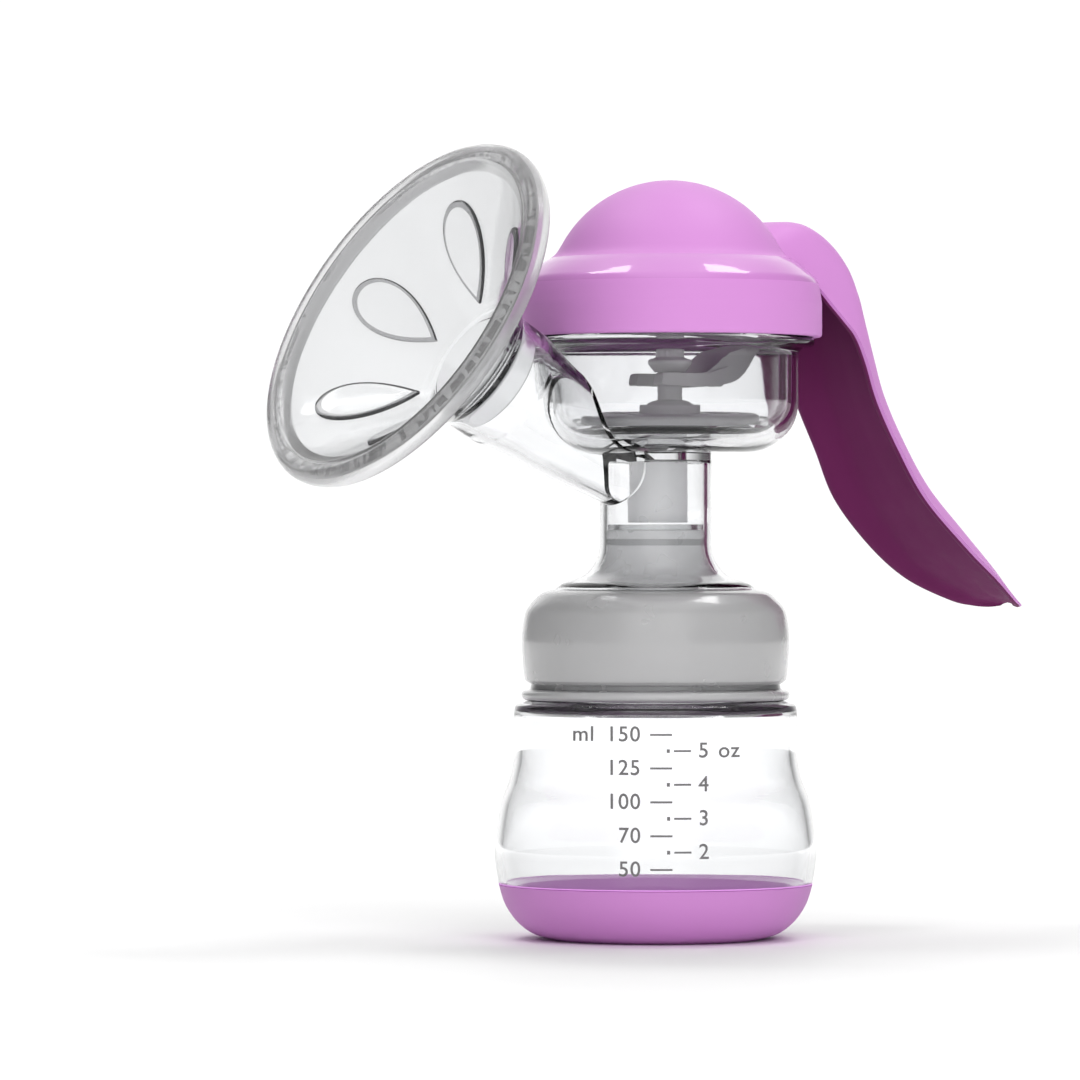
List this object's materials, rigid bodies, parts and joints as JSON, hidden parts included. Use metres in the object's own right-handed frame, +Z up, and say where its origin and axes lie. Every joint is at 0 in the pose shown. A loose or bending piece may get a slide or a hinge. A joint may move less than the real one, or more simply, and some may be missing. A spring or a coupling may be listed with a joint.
{
  "type": "breast pump",
  "caption": "Manual breast pump: a clear funnel and suction chamber with a domed lilac cap and squeeze handle, screwed onto a waisted clear milk bottle with a lilac base",
  "frame": {"origin": "on the bottle's axis, at the flat foot of the base cup that the pump stands on", "axes": "+Z up the bottle's axis; +X toward the squeeze handle, -X toward the funnel; XZ is the mirror plane"},
  "size_m": [0.1939, 0.0874, 0.1782],
  "materials": {
    "lilac_plastic": "moulded gloss polypropylene, lilac",
    "clear_plastic": "clear polypropylene, polished mould",
    "frosted_plastic": "natural milky polypropylene, softly frosted",
    "clear_silicone": "clear food-grade silicone, satin",
    "grey_plastic": "moulded grey plastic",
    "steel": "plain stainless steel"
  },
  "bodies": {
    "bottle_body": {"bottle": "clear_plastic", "base_cup": "lilac_plastic"},
    "seal_ring": {"sealing_gasket": "clear_silicone"},
    "pump": {"pump_body": "clear_plastic", "bottle_adapter": "frosted_plastic", "spigot_seal": "clear_silicone", "duckbill_valve": "clear_silicone"},
    "cap": {"dome_cap": "lilac_plastic", "pivot_pin": "steel", "diaphragm_wall": "clear_silicone"},
    "squeeze_lever": {"handle": "lilac_plastic", "lever_arm": "grey_plastic", "lever_screw": "steel"},
    "piston": {"stem": "grey_plastic", "stem_lock_ring": "grey_plastic", "support_disc": "frosted_plastic", "diaphragm_base": "clear_silicone"},
    "funnel_liner": {"massage_cushion": "clear_silicone"}
  },
  "joints": [
    {"name": "seal_lift", "type": "slide", "parent": "bottle_body", "child": "seal_ring", "axis": [0, 0, 1], "range_m": [0, 0.0051]},
    {"name": "pump_unscrew", "type": "hinge", "parent": "seal_ring", "child": "pump", "pos_m": [0, 0, 0.0735], "axis": [0, 0, 1], "range_deg": [0, 400]},
    {"name": "cap_lift", "type": "slide", "parent": "pump", "child": "cap", "axis": [0, 0, 1], "range_m": [0, 0.045]},
    {"name": "handle_squeeze", "type": "hinge", "parent": "cap", "child": "squeeze_lever", "pos_m": [0.032, 0, 0.146], "axis": [0, 1, 0], "range_deg": [0, 20], "stiffness_Nm_per_rad": 0.8, "springref_deg": -5.73},
    {"name": "diaphragm_lift", "type": "slide", "parent": "cap", "child": "piston", "axis": [0, 0, 1], "range_m": [0, 0.0106], "deforming": ["diaphragm_wall"]},
    {"name": "cushion_pull", "type": "slide", "parent": "pump", "child": "funnel_liner", "axis": [-0.866, 0, 0.5], "range_m": [0, 0.045]}
  ],
  "couplings": [
    {"joint": "seal_lift", "follows": "pump_unscrew", "m_per_rad": 0.0007162},
    {"joint": "diaphragm_lift", "follows": "handle_squeeze", "m_per_rad": 0.03}
  ]
}
